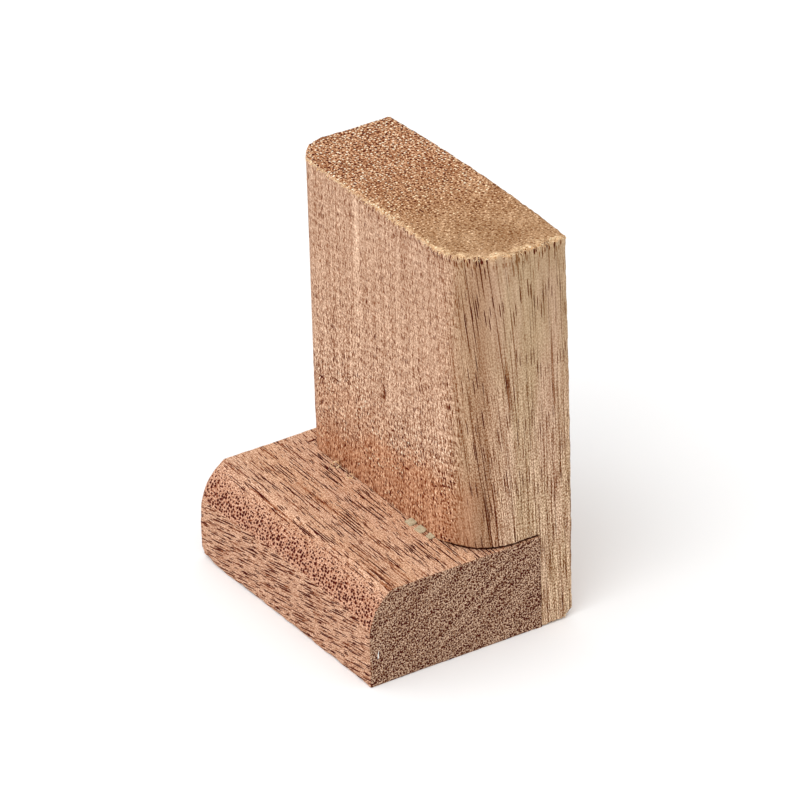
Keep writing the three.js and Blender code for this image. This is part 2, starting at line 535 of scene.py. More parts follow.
def upright_front_tone(s, grain, lively, torn):
    """Tones of the upright's front: upright strokes and streaks, faint saw marks, and torn grain with
    painted glints.
    """
    stroke = s.noise(grain, (0.32, 1.3), 1, seed=23)
    grit = s.noise(grain, (0.36, 0.5), 1, seed=21)
    fibre = s.noise(grain, (0.34, 20), seed=24)
    streak = s.noise(grain, (1.3, 80), seed=25)
    saw = s.noise(grain, (9, 0.4), 1, seed=27)
    crowding = s.step(s.noise(grain, (2.2, 14), 2, 0.5, seed=29), 0.35, 0.62, 0.5, 1.15)
    pores = s.marks(grain, (0.68, 2.8), 0.24, crowding, seed=31)
    # Painted highlights: pale flecks in the torn grain stand in for glints of light on the torn fibres.
    painted_glint = s.marks(grain, (0.75, 1.3), 0.27, seed=33)
    pit = s.marks(grain, (0.9, 1.5), 0.27, seed=35)
    # Painted glints lighten the torn zone, and darker pits darken it.
    tears = s.calc("MULTIPLY", torn, s.total((painted_glint, 110.0), (pit, -140.0)))
    crisp = s.total(
        (s.swing(stroke), 30.0),
        (s.swing(grit), 27.0),
        (s.swing(fibre, 0.15), 16.0),
        (s.swing(saw), 11.0),
        (pores, -85.0),
    )
    tone = s.total(s.calc("MULTIPLY", crisp, lively), tears, (s.swing(streak, 0.18), -8.0))
    torn_height = s.calc("MULTIPLY", torn, s.total(painted_glint, (pit, -1.0)))
    height = s.total(stroke, (saw, 0.4), (pores, -0.7), torn_height)
    return tone, height


def front_marks(s, front):
    """Tones of the painted shade in the nicks and of the long pale stripe in the upright's front."""
    flat = s.flat(s.here(), 0, 2)
    depth = 0.0
    # Painted shade: each nick is darkened as the shade inside its dent.
    for x, z, length, width, tilt in FRONT_NICKS:
        depth = s.calc("MAXIMUM", depth, s.nick(flat, (x, z), (length, width), tilt))
    stripe = s.nick(flat, (-9.3, 84), (66, 3.4), 90)
    return s.calc("MULTIPLY", s.total((depth, -120.0), (stripe, 22.0)), front)


def upright_end_tone(s, lively, burr):
    """Tones of the upright's end grain: open pores, painted sparkle on the fibre ends, scratches and pale
    burrs.
    """
    flat = s.flat(s.here(), 0, 1)
    patch = s.noise(flat, (9, 9), 3, seed=41)
    saw = s.noise(s.tilted(flat, 0.6), (9, 0.5), seed=42)
    speck = s.noise(flat, (0.42, 0.42), seed=43)
    scratch = s.noise(s.tilted(flat, 1.0), (1.7, 11), seed=44)
    # Painted highlights: these light marks stand in for light sparkling on the cut fibre ends.
    light = s.marks(flat, (1.05, 1.05), 0.28, seed=45)
    hole = s.marks(flat, (1.1, 1.1), 0.28, seed=47)
    # Painted sparkle, together with the burrs' own paler colour.
    painted_sparkle_and_burr = s.total((light, 150.0), (burr, 40.0))
    crisp = s.total((s.swing(speck, 0.18), 60.0), painted_sparkle_and_burr, (hole, -120.0), (s.swing(saw), 14.0))
    broad = s.total((s.swing(patch), 11.0), (s.step(scratch, 0.5, 0.7), 18.0))
    tone = s.total(s.calc("MULTIPLY", crisp, lively), broad)
    return tone, s.total(speck, light, (hole, -1.0))


def upright_colour(s, end, front, amber, band, burr):
    """Colours of the upright before its tones: side, front, warmer zone, corner band, top and burrs."""
    broad = s.noise(s.here(), (9, 9, 50), 3, 0.55, seed=1)
    colour = s.mix(s.step(broad, 0.35, 0.65), (177, 149, 118), (186, 153, 128))
    colour = s.mix(front, colour, (183, 147, 122))
    colour = s.mix(amber, colour, (180, 130, 99))
    colour = s.mix(band, colour, (156, 121, 94))
    rightward = s.step(s.node("SeparateXYZ", s.here()), -20.0, 30.0)
    colour = s.mix(end, colour, s.mix(rightward, (159, 110, 76), (165, 126, 91)))
    return s.mix(burr, colour, (226, 190, 148))


def upright_wood():
    """Wood of the upright, with its fibres up. Its top is end grain."""
    s = Shader("upright_wood")
    grain = s.place("grain")
    end = s.end_grain((0, 0, 1))
    names = ("torn", "amber", "band", "front", "lively", "burr", "notch_shadow_zone")
    torn, amber, band, front, lively, burr, notch_shadow_zone = (s.mask(name) for name in names)
    colour = upright_colour(s, end, front, amber, band, burr)
    side_tone, side_height = upright_side_tone(s, grain, lively, band)
    front_tone, front_height = upright_front_tone(s, grain, lively, torn)
    end_tone, end_height = upright_end_tone(s, lively, burr)
    long_tone = s.between(front, side_tone, front_tone)
    long_height = s.between(front, side_height, front_height)
    # Painted shade: dark marks just below the top stand in for the shadows of notches under the torn fringe.
    painted_notch_shadows = s.calc("MULTIPLY", notch_shadow_zone, s.marks(grain, (0.75, 3.4), 0.27, seed=37))
    tone = s.total(s.between(end, long_tone, end_tone), front_marks(s, front), (painted_notch_shadows, -120.0))
    return finished_wood(s, colour, tone, s.between(end, long_height, end_height))


SHARP_CORE = 0.85  # the same share as CORE, for the foot's sharper marks
FACE_SLOPE = -0.18  # slope of the marks on the foot's front face against its length


def foot_side_tone(s, grain, band, face):
    """Tones of the foot's long faces: lines on top, dots in the band and slashes on the front."""
    fibre = s.noise(grain, (0.27, 2.2), seed=3)
    grit = s.noise(grain, (0.3, 0.4), 1, seed=4)
    streak = s.noise(grain, (0.6, 40), seed=5)
    crowding = s.step(s.noise(grain, (4, 22), 2, 0.5, seed=7), 0.35, 0.6, 0.92, 1.01)
    clear = s.calc("MULTIPLY", crowding, s.step(band, 0.3, 0.9, 1.0, 0.0))
    strands = s.strands(grain, (0.36, 45), 0.6, clear, seed=11)
    tears = s.strands(s.tilted(grain, FACE_SLOPE), (0.36, 7), 0.58, clear, seed=15)
    lines = s.marks(s.tilted(grain, 0.02), (0.73, 24), 0.2, clear, seed=12, core=SHARP_CORE)
    dashes = s.marks(s.tilted(grain, 0.1), (0.7, 7), 0.17, clear, seed=13, core=SHARP_CORE)
    slashes = s.marks(s.tilted(grain, FACE_SLOPE), (0.73, 12), 0.212, clear, seed=14, core=SHARP_CORE)
    flicks = s.marks(s.tilted(grain, FACE_SLOPE), (0.7, 5), 0.19, clear, seed=16, core=SHARP_CORE)
    dots = s.marks(grain, (0.84, 1.0), 0.36, band, seed=17, core=0.8)
    top_marks = s.calc("MAXIMUM", lines, dashes)
    face_marks = s.calc("MAXIMUM", slashes, flicks)
    marks = s.calc("MAXIMUM", s.between(face, top_marks, face_marks), dots)
    tone = s.total(
        (marks, -205.0),
        (s.between(face, strands, tears), -58.0),
        (s.swing(fibre, 0.17), 19.0),
        (s.swing(grit, 0.17), 36.0),
        (s.swing(streak, 0.15), -5.0),
    )
    return tone, s.total(fibre, (marks, -1.0))


def foot_end_tone(s):
    """Tones of the foot's end grain: dark open pores, in bands that rise towards the rear."""
    flat = s.flat(s.here(), 1, 2)
    stripes = s.noise(s.tilted(flat, -1.4), (2.6, 14), seed=51)
    holes = s.marks(flat, (0.68, 0.68), 0.37, s.step(stripes, 0.32, 0.65, 0.75, 1.1), seed=53)
    speck = s.noise(flat, (0.34, 0.34), 1, seed=55)
    tone = s.total((holes, -165.0), (s.swing(speck, 0.18), 62.0), (s.swing(stripes), -9.0))
    return tone, s.total(speck, (holes, -1.0))


def kerf_shadow(s):
    """Painted shadow in the knife cut in the foot's top, beside the upright's left corner."""
    near_top = s.step(s.node("SeparateXYZ", s.here(), output=2), 20, 24)
    return s.calc("MULTIPLY", s.nick(s.flat(s.here(), 0, 1), KERF_PLACE, KERF_SIZE, 0), near_top)


def foot_wood():
    """Wood of the foot, with its fibres along X. They dip out of the surface in a band along its nose."""
    s = Shader("foot_wood")
    grain = s.place("grain")
    end = s.end_grain((1, 0, 0))
    band, face = s.mask("band"), s.mask("face")
    broad = s.noise(s.here(), (45, 9, 9), 3, 0.55, seed=1)
    colour = s.mix(s.step(broad, 0.35, 0.65), (204, 160, 129), (203, 162, 135))
    colour = s.mix(face, colour, (188, 146, 120))
    colour = s.mix(band, colour, (182, 134, 109))
    colour = s.mix(end, colour, (154, 124, 102))
    side_tone, side_height = foot_side_tone(s, grain, band, face)
    end_tone, end_height = foot_end_tone(s)
    # Painted shade: the knife cut is darkened as the shadow inside it.
    tone = s.total(s.between(end, side_tone, end_tone), (kerf_shadow(s), -190.0))
    return finished_wood(s, colour, tone, s.between(end, side_height, end_height))


def dried_glue(name, dark, light, gloss):
    """Hard, slightly cloudy glue with dust in it, between a dark and a light screen colour."""
    s = Shader(name)
    here = s.here()
    cloud = s.noise(here, (1.2, 1.2, 1.2), 3)
    dust = s.noise(here, (0.25, 0.25, 0.25), 2, 0.7, seed=5)
    colour = s.mix(s.step(cloud, 0.35, 0.65), dark, light)
    tone = s.step(dust, 0.4, 0.75, 8, -45)
    roughness = s.step(cloud, 0.3, 0.7, 0.45, 0.65)
    return s.finish(toned(s, colour, tone), roughness, s.total(cloud, dust), 0.08, gloss)


def white_glue():
    """A bead of glue that dried white."""
    s = Shader("white_glue")
    here = s.here()
    cloud = s.noise(here, (0.5, 0.5, 0.5), 3)
    colour = s.mix(s.step(cloud, 0.35, 0.65), (226, 224, 218), (246, 246, 244))
    roughness = s.step(cloud, 0.3, 0.7, 0.35, 0.5)
    return s.finish(s.node("Gamma", colour, SCREEN_GAMMA), roughness, cloud, 0.05, 0.5)


def torn_fibre():
    """Pale fibres torn loose at the sawn edges."""
    s = Shader("torn_fibre")
    here = s.here()
    bundle = s.noise(here, (0.8, 0.8, 0.8), 3)
    strand = s.noise(here, (0.12, 0.12, 0.5), seed=3)
    colour = s.mix(s.step(bundle, 0.35, 0.65), (214, 170, 124), (250, 226, 190))
    tone = s.step(strand, 0.3, 0.7, -30, 24)
    return s.finish(toned(s, colour, tone), s.step(bundle, 0.3, 0.7, 0.7, 0.9), strand, 0.05, 0.25)


# --- The upright ---

FRONT_NICKS = (  # x, z, length, width and tilt of each nick in the front
    (-26, 45.5, 3.8, 0.8, 0),
    (-19.5, 47.5, 5, 0.5, 0),
    (-14, 49, 1.1, 1, 0),
    (2, 53.5, 4.8, 0.9, 88),
    (5.5, 45, 1.2, 0.9, 0),
    (9.5, 47.5, 1.6, 0.8, 10),
    (6.5, 40, 3.4, 0.6, -34),
    (9.5, 38, 2.8, 0.6, -32),
    (11.5, 37.5, 1.7, 0.8, 0),
    (17.5, 37.5, 1.1, 0.9, 0),
    (23.5, 38.5, 3.2, 0.6, 26),
    (27, 40, 3.4, 0.6, 13),
    (29.5, 42, 2.6, 0.6, 0),
)

# Steps of the mesh across the front and the rear, a side and the tongue, and up both parts of the upright
FRONT_STEPS = 176
SIDE_STEPS = 22
TONGUE_STEPS = 17
UPPER_STEPS = 140
LOWER_STEPS = 44


def left_radius(z):
    """Radius of the upright's left front corner, which grows downwards."""
    grown = LEFT_RADIUS_AT_SEAT - LEFT_RADIUS_AT_TOP
    return LEFT_RADIUS_AT_TOP + grown * (HEIGHT - z) / (HEIGHT - SEAT)


def front_line(z):
    """The upright's front in plan at a height, from left to right, with its two rounded corners."""
    front = front_at(z)
    radius = left_radius(z)
    left = arc((radius - HALF, front + radius), radius, 180, 270)
    right = arc((HALF - RIGHT_RADIUS, front + RIGHT_RADIUS), RIGHT_RADIUS, 270, 360)
    return resample(np.concatenate([left, right]), FRONT_STEPS)


def right_line(z):
    """The right side in plan above the foot, from front to rear."""
    return straight((HALF, front_at(z) + RIGHT_RADIUS), (HALF, WALL), SIDE_STEPS)


def left_line(z):
    """The left side in plan above the foot, from rear to front."""
    return straight((-HALF, WALL), (-HALF, front_at(z) + left_radius(z)), SIDE_STEPS)


def rear_line():
    """The curved rear in plan, from right to left."""
    bulge = REAR_MIDDLE - REAR_SIDE
    radius = (HALF**2 + bulge**2) / (2 * bulge)
    half_angle = math.degrees(math.asin(HALF / radius))
    line = arc((0, REAR_MIDDLE - radius), radius, 90 - half_angle, 90 + half_angle)
    return resample(line, FRONT_STEPS)


def at_height(plan, z):
    """A plan line's points at a height."""
    return np.column_stack([plan, np.full(len(plan), z)])


def standing(line, levels):
    """A grid of a plan line at each level. The line is fixed, or a function of the height."""
    return np.stack([at_height(line(z) if callable(line) else line, z) for z in levels])


def around_upright(name, grid):
    """Distance around the upright, which on its right side is y."""
    x, y = grid[..., 0], grid[..., 1]
    if name == "front":
        return y[:, -1:] - border_distance(grid, "last column")
    if name == "rear":
        return REAR_SIDE + border_distance(grid, "first column")
    if name in ("left", "left_tongue"):
        return 2 * HALF + 2 * REAR_SIDE - y
    return x - HALF + y


def upright_skins():
    """Grids of the upright's standing faces, with their borders that are arrises."""
    upper = graded(SEAT, HEIGHT, UPPER_STEPS, 0.45)
    lower = graded(0.0, SEAT, LOWER_STEPS, 0.3)
    whole = np.concatenate([lower, upper[1:]])
    right_tongue = straight((HALF, WALL), (HALF, REAR_SIDE), TONGUE_STEPS)
    left_tongue = straight((-HALF, REAR_SIDE), (-HALF, WALL), TONGUE_STEPS)
    wall = straight((-HALF, WALL), (HALF, WALL), FRONT_STEPS)
    return {
        "front": (standing(front_line, upper), ENDS),
        "right": (standing(right_line, upper), ENDS),
        "left": (standing(left_line, upper), ENDS),
        "right_tongue": (standing(right_tongue, whole), (*ENDS, "last column")),
        "left_tongue": (standing(left_tongue, whole), (*ENDS, "first column")),
        "rear": (standing(rear_line(), whole), ALL_BORDERS),
        "wall": (standing(wall, lower), ENDS),
    }


def upright_caps(skins):
    """Grids of the upright's top, the rebate's ceiling and the tongue's underside."""
    first = {name: grid[0] for name, (grid, _) in skins.items()}
    last = {name: grid[-1] for name, (grid, _) in skins.items()}
    right_top = np.concatenate([last["right"], last["right_tongue"][1:]])
    left_top = np.concatenate([last["left_tongue"], last["left"][1:]])
    top = coons(last["front"], right_top, last["rear"][::-1], left_top[::-1])
    ceiling = coons(first["front"], first["right"], last["wall"], first["left"][::-1])
    tongue_left = first["left_tongue"][::-1]
    underside = coons(first["wall"], first["right_tongue"], first["rear"][::-1], tongue_left)
    return top, ceiling[:, ::-1], underside[:, ::-1]


def upright_patches():
    """The upright's patches, with the grain up its standing faces."""
    skins = upright_skins()
    sides = [
        (grid, borders, np.stack([around_upright(name, grid), grid[..., 2]], axis=-1))
        for name, (grid, borders) in skins.items()
    ]
    return [*sides, *[(grid, ALL_BORDERS, grid[..., :2]) for grid in upright_caps(skins)]]


def upright_wear(points):
    """Radius of the upright's worn arrises."""
    rough = 0.5 + 0.5 * noise(points, 1.3, 3)
    at_seat = rise(np.abs(points[..., 2] - SEAT), 3, 1)
    return (0.25 + 0.55 * rough**2) * (1 - 0.6 * at_seat)


def top_edge():
    """The front and right edge of the upright's top, from its left side to its rear."""
    tongue = straight((HALF, WALL), (HALF, REAR_SIDE), TONGUE_STEPS)
    plan = np.concatenate([front_line(HEIGHT), right_line(HEIGHT)[1:], tongue[1:]])
    return at_height(plan, HEIGHT)


def from_top_edge(points):
    """Distance of each point from the front and right edge of the top."""
    return distance_from(points, top_edge())


def amber_edge(x):
    """Height of the scalloped upper edge of the front's warmer lower part."""
    scallop = 1.2 * np.abs(np.sin(x / 7.5 + 0.6))
    return 34 + 7.5 * rise(x, -14, 2) - scallop


def front_mask(points):
    """1 on the upright's flat front and 0 on its sides."""
    x, y, _ = points.T
    return rise(x, 35, 28) * rise(y, 4.5, 1)


def wander(points):
    """Coarse and finer noise that makes the borders of the masks uneven."""
    return noise(points, 7, 63) + 0.5 * noise(points, 2.5, 66)


def torn_mask(points):
    """How torn the grain of the upright's front is: its lower half is."""
    patchy = 0.55 + 0.45 * noise(points, 3, 64)
    return front_mask(points) * rise(points[:, 2] + 2.5 * wander(points), 57, 44) * patchy


def amber_mask(points):
    """How warm the wood's colour is: the lower front's is, up to a scalloped edge."""
    x, y, z = points.T
    uneven = wander(points)
    broad = 0.4 * rise(z + 5 * uneven, 54, 36)
    edged = 0.6 * rise(z + 1.5 * uneven - amber_edge(x), 2.5, -3)
    return rise(y, 9, 3) * (broad + edged)


def band_mask(points):
    """The dark band up the upright's right front corner."""
    x, y, _ = points.T
    uneven = 1.5 * noise(points, (6, 6, 25), 65)
    band = rise(x, 30, 36) * rise(y + uneven, -0.5, 2.5) * rise(y, 8.5, 5.5)
    corner = rise(x, 26, 33) * rise(y, 12, 6)
    return np.maximum(band, 0.5 * corner)


def lively_mask(points, amber, top):
    """How strong the wood's fine tones are: more lower down and less in the warm zone."""
    x, _, z = points.T
    right = rise(x, 30, 36)
    lively = (0.82 + 0.63 * rise(z, 88, 30)) * (1 - 0.5 * amber)
    lively = lively * (1 + 0.25 * right * rise(z, 60, 20) - 0.4 * right * rise(z, 60, 90))
    return lively * (1 - top) + top * (0.3 + 0.75 * rise(x, 32, -28))


def burr_mask(points, top):
    """The pale, ragged burrs along the front and right edge of the top."""
    x = points[:, 0]
    ragged = rise(noise(points, 0.9, 67), -0.5, 0.5)
    reach = 0.5 + 1.7 * ragged + 1.8 * rise(x, 24, 36)
    burr = rise(from_top_edge(points), reach, 0.2) * rise(x, -30, 14)
    return burr * (0.15 + 0.85 * ragged) * (0.35 + 0.65 * top)


def upright_masks(points):
    """How the wood's colour and state differ over the upright. Just below its top, shadows of notches are
    painted.
    """
    x, y, z = points.T
    top = rise(z, HEIGHT - 1, HEIGHT - 0.3)
    below_top = rise(z, HEIGHT - 4.5, HEIGHT - 1.5) * rise(HEIGHT - z, 0.1, 0.5)
    amber = amber_mask(points)
    return {
        # Where the notch shadows are painted, just below the top.
        "notch_shadow_zone": below_top * rise(x, -15, 15) * rise(y, 27, 26),
        "torn": torn_mask(points),
        "amber": amber,
        "band": band_mask(points),
        "front": front_mask(points),
        "lively": lively_mask(points, amber, top),
        "burr": burr_mask(points, top),
    }


def upright_height(points):
    """How far the upright's surface stands out: unevenly sawn, torn in front and bulging at one side."""
    x, y, z = points.T
    end = rise(z, HEIGHT - 0.6, HEIGHT - 0.2)
    bulge = 0.3 * rise(x, 20, 36) * rise(y, 20, 27) * np.sin(np.pi * z / HEIGHT) ** 2
    height = 0.06 * noise(points, (9, 9, 16), 81)
    height = height + 0.16 * torn_mask(points) * noise(points, (1.2, 1.2, 1.7), 82)
    return height + 0.1 * end * noise(points, 1.4, 83) + bulge


def nicked_front(points):
    """The upright's points with the nicks pressed into its front."""
    for x, z, length, width, tilt in FRONT_NICKS:
        level = abs(math.cos(math.radians(tilt)))
        across = max(length * level, width) / 2 + 0.3
        upward = max(length * (1 - level), width) / 2 + 0.3
        points = pressed(points, (x, front_at(z), z), (across, 1.0, upward), (0, 0.45, 0))
    return points


def upright_relief(points, quads):
    """The upright with torn grain, nicks, a worn corner and a gap over the foot's right end."""
    points = points + normals_of(points, quads) * upright_height(points)[:, None]
    points = nicked_front(points)
    points = pressed(points, (HALF, REAR_SIDE, 0), (2.6, 3.2, 2.4), (-0.5, -0.5, 0.8))
    near_seat = rise(np.abs(points[:, 2] - SEAT), 1.0, 0.3) * rise(points[:, 1], WALL, WALL - 1)
    gap = 0.5 + 0.22 * noise(points, 0.9, 86)
    points[:, 2] += near_seat * (gap * rise(points[:, 0], 25, 30) - 0.28 * rise(points[:, 0], 27, 22))
    ragged = 0.5 + 0.5 * noise(points, 0.8, 84)
    hem = rise(points[:, 2], 0.8, 0) * rise(points[:, 0], HALF - 3, HALF)
    points[:, 2] += 0.9 * hem * ragged**2
    crown = rise(from_top_edge(points), 0.9, 0.2)
    points[:, 2] += crown * (0.35 * noise(points, 0.9, 85) + 0.1)
    points[:, 2] = np.maximum(points[:, 2], 0)
    return points


def leaning_grain(places):
    """Places in the upright's grain, with its fibres leaning around the right corner."""
    across, along = places.T
    lean = 0.02 * rise(across, -20, 20) + 0.1 * np.exp(-(((across - 1) / 12) ** 2))
    wave = 0.4 * noise(np.column_stack([places, across]), (12, 35, 12), 61)
    return np.column_stack([across + lean * (along - 55) + wave, along])


def upright_block(material):
    """The upright, which stands for its CAD node."""
    points, quads, places = weld(upright_patches(), upright_wear)
    masks = upright_masks(points)
    faces = quads.tolist()
    points = upright_relief(points, quads)
    grain = leaning_grain(places)
    return make_object("upright", points, faces, material, ["upright_block"], masks, grain)


# --- The foot ---

# Steps of the mesh along the foot's top and base, up its front and rear, and along its length
FOOT_LONG_STEPS = 110
FOOT_SHORT_STEPS = 56
FOOT_LENGTH_STEPS = 165
KERF_PLACE = (-32.6, 0.0)  # the knife cut in the foot's top, beside the upright's left corner
KERF_SIZE = (0.85, 3.2)


def nose_line():
    """The foot's rounded upper front edge in side view, as (y, z), from the top to the front."""
    centre = (FOOT_FRONT + NOSE_RADIUS, FOOT_TOP + NOSE_CUT - NOSE_RADIUS)
    highest = math.degrees(math.asin((NOSE_RADIUS - NOSE_CUT) / NOSE_RADIUS))
    return arc(centre, NOSE_RADIUS, 180 - highest, 180)


def foot_grids():
    """Grids of the foot's top, front, base and rear."""
    nose = nose_line()
    middle = len(nose) // 2
    upper = np.concatenate([[(FOOT_REAR, FOOT_TOP)], nose[: middle + 1]])
    front = np.concatenate([nose[middle:], [(FOOT_FRONT, 0)]])
    lines = [
        resample(upper, FOOT_LONG_STEPS),
        resample(front, FOOT_SHORT_STEPS),
        straight((FOOT_FRONT, 0), (FOOT_REAR, 0), FOOT_LONG_STEPS),
        straight((FOOT_REAR, 0), (FOOT_REAR, FOOT_TOP), FOOT_SHORT_STEPS),
    ]
    across = graded(-HALF, HALF, FOOT_LENGTH_STEPS, 0.4)
    grids = []
    for line in lines:
        grid = np.zeros((len(across), len(line), 3))
        grid[..., 0] = across[:, None]
        grid[..., 1:] = line[None]
        grids.append(grid)
    return grids


def foot_patches():
    """The foot's patches, with the grain along its length."""
    top, face, base, rear = foot_grids()
    face_length = border_distance(face, "first column").max()
    skins = [
        (top, (*ENDS, "first column"), face_length + border_distance(top, "last column")),
        (face, (*ENDS, "last column"), border_distance(face, "last column")),
        (base, ALL_BORDERS, -border_distance(base, "first column")),
        (rear, ALL_BORDERS, face_length - border_distance(rear, "first column")),
    ]
    sides = [(grid, borders, np.stack([way, grid[..., 0]], axis=-1)) for grid, borders, way in skins]
    right_end = coons(base[-1], rear[-1], top[-1][::-1], face[-1][::-1])
    left_end = coons(base[0], rear[0], top[0][::-1], face[0][::-1])[:, ::-1]
    return [*sides, *[(grid, ALL_BORDERS, grid[..., 1:]) for grid in (right_end, left_end)]]


def foot_wear(points):
    """Radius of the foot's worn arrises."""
    rough = 0.5 + 0.5 * noise(points, 1.5, 5)
    glued = rise(points[..., 1], FOOT_REAR - 2, FOOT_REAR - 1)
    return (0.3 + 0.6 * rough**2) * (1 - 0.7 * glued)


def foot_masks(points):
    """The band where the foot's fibres dip, and the front face below it."""
    _, y, z = points.T
    round_nose = y + z + 1.1 * noise(points, (12, 5, 5), 73) + 0.6 * noise(points, (4, 2.5, 2.5), 74)
    middle = FOOT_FRONT + FOOT_TOP
    band = rise(round_nose, middle - 8.7, middle - 7.5) * rise(round_nose, middle + 9, middle - 4)
    face = rise(round_nose, middle - 7, middle - 8.5)
    return {"band": band, "face": face}


def foot_relief(points, quads):
    """The foot with its worn corner, knife cut, uneven lower front edge and slightly uneven nose."""
    x, y, z = points.T
    height = 0.07 * noise(points, (30, 7, 7), 91) + 0.05 * noise(points, (5, 2, 2), 92)
    left = rise(x, -5, -34)
    points = points + normals_of(points, quads) * height[:, None]
    points[:, 1] += 0.42 * left * rise(y, -20, -27) * np.sin(np.clip((z - 16) / 8, -1, 1) * np.pi / 2)
    points = pressed(points, (-HALF, FOOT_FRONT, 0), (6, 3.5, 3), (0.4, 0.4, 0.6))
    points = pressed(points, (*KERF_PLACE, FOOT_TOP), (0.6, 1.5, 1), (0, 0, -0.3))
    ragged = 0.5 + 0.5 * noise(points, 2.2, 93)
    lower_edge = rise(points[:, 2], 1.5, 0) * rise(points[:, 1], FOOT_FRONT + 2, FOOT_FRONT)
    points[:, 2] += 0.7 * lower_edge * ragged**2
    joint = rise(points[:, 1], FOOT_REAR - 0.8, FOOT_REAR - 0.1)
    points[:, 1] += joint * (WALL - FOOT_REAR)
    points[:, 2] = np.maximum(points[:, 2], 0)
    return points


def foot_block(material):
    """The foot, which stands for its CAD node."""
    points, quads, places = weld(foot_patches(), foot_wear)
    masks = foot_masks(points)
    faces = quads.tolist()
    points = foot_relief(points, quads)
    places[:, 0] += 0.25 * noise(np.column_stack([places, places[:, 0]]), (7, 40, 7), 71)
    return make_object("foot", points, faces, material, ["foot_block"], masks, places)


# --- Torn fibres, shavings and glue ---

UP = np.array([0.0, 0.0, 1.0])


def loose_fibres(name, random, roots, ways, bends, length_range, radius_range, material):
    """A piece made of fibres of random lengths and radii."""
    lengths = random.uniform(*length_range, len(roots))
    radii = random.uniform(*radius_range, len(roots))
    points, faces = fibres(roots, ways, bends, lengths, radii)
    return make_object(name, points, faces, material)


def burr_fibres(material, count=420):
    """Fibres torn up along the front and right edges of the upright's top."""
    random = np.random.default_rng(11)
    edge = top_edge()
    places, part = at_shares(edge, random.uniform(0.06, 1, count) ** 0.8)
    along = unit(edge[part + 1] - edge[part])
    outward = np.cross(along, UP)
    spread = random.normal(size=(count, 3))
    inset = outward * random.uniform(0.0, 0.35, (count, 1))
    roots = places - inset - UP * random.uniform(0.1, 0.5, (count, 1))
    ways = outward * 0.7 + 0.8 * along * spread[:, :1] + UP * (0.25 + 0.45 * spread[:, 1:2])
    bends = outward * 0.15 - UP * random.uniform(0, 0.4, (count, 1))
    return loose_fibres("burr_fibres", random, roots, ways, bends, (0.4, 1.3), (0.09, 0.22), material)


def hem_fibres(material, count=46):
    """Fibres torn loose along the lower right edge of the upright's tongue."""
    random = np.random.default_rng(12)
    y = random.uniform(WALL + 0.4, REAR_SIDE - 1.5, count)
    roots = np.column_stack([np.full(count, HALF - 0.2), y, random.uniform(0.7, 1.3, count)])
    spread = random.normal(size=(count, 2))
    ways = np.column_stack([np.full(count, 0.35), 0.5 * spread[:, 0], -1 + 0.3 * spread[:, 1]])
    bends = np.full((count, 3), (0.15, 0.0, 0.0))
    return loose_fibres("hem_fibres", random, roots, ways, bends, (0.3, 0.6), (0.06, 0.13), material)


def corner_hairs(material, count=12):
    """Hairs that stand out from the upright's left front corner near its top."""
    random = np.random.default_rng(13)
    z = random.uniform(HEIGHT - 10, HEIGHT - 2.5, count)
    angle = np.radians(random.uniform(180, 232, count))
    outward = np.column_stack([np.cos(angle), np.sin(angle), np.zeros(count)])
    centre = np.column_stack([left_radius(z) - HALF, front_at(z) + left_radius(z), z])
    roots = centre + outward * (left_radius(z)[:, None] - 0.15)
    ways = outward + random.normal(size=(count, 3)) * (0.35, 0.35, 0.5)
    bends = random.normal(size=(count, 3)) * 0.35
    return loose_fibres("corner_hairs", random, roots, ways, bends, (0.7, 1.7), (0.06, 0.1), material)


SHAVING_STEPS = 40
SHAVING_HALF_WIDTH = 0.4
SHAVING_HALF_THICKNESS = 0.07
SHAVING_START = 2.6  # angle of the curl's outer end, in radians
SHAVING_AXIS = np.array([0.85, -0.53, 0.0])
SHAVING_SIDE = np.array([0.53, 0.85, 0.0])  # square to the axis


def shaving(name, x, radius, turns, material):
    """A curled shaving that stands on the foot against the upright."""
    t = np.linspace(0, 1, SHAVING_STEPS)
    turn = 2 * np.pi * turns * t + SHAVING_START
    curl = radius * (1 - 0.4 * t)
    drift = 0.9 * np.outer(t, SHAVING_AXIS)
    centre = np.array([x, FRONT - 0.85 * radius - 0.05, FOOT_TOP + 0.8 * radius])
    outward = np.outer(np.cos(turn), SHAVING_SIDE) + np.outer(np.sin(turn), UP)
    spine = centre + drift + curl[:, None] * outward
    width = np.outer(SHAVING_HALF_WIDTH * np.sin(np.pi * (0.08 + 0.86 * t)), SHAVING_AXIS)
    shell = SHAVING_HALF_THICKNESS * outward
    inner = (spine - width - shell, spine + width - shell)
    outer = (spine + width + shell, spine - width + shell)
    points = np.stack((*inner, *outer), axis=1).reshape(-1, 3)
    return make_object(name, points, tube_faces(SHAVING_STEPS, 4), material)


PAD_STEPS = 18
PAD_BURIED = 0.1  # how far a pad reaches into the wood


def pad_profile(reach, lift):
    """A pad's closed side view, as (y, z) from the corner, with a top that slopes down and outwards."""
    outline = [
        (PAD_BURIED, -PAD_BURIED),
        (PAD_BURIED, lift),
        (-0.12 * reach, lift),
        (-reach, 0.3 * lift),
        (-reach, -PAD_BURIED),
        (PAD_BURIED, -PAD_BURIED),
    ]
    return resample(np.array(outline), 4 * PAD_STEPS)[:-1]


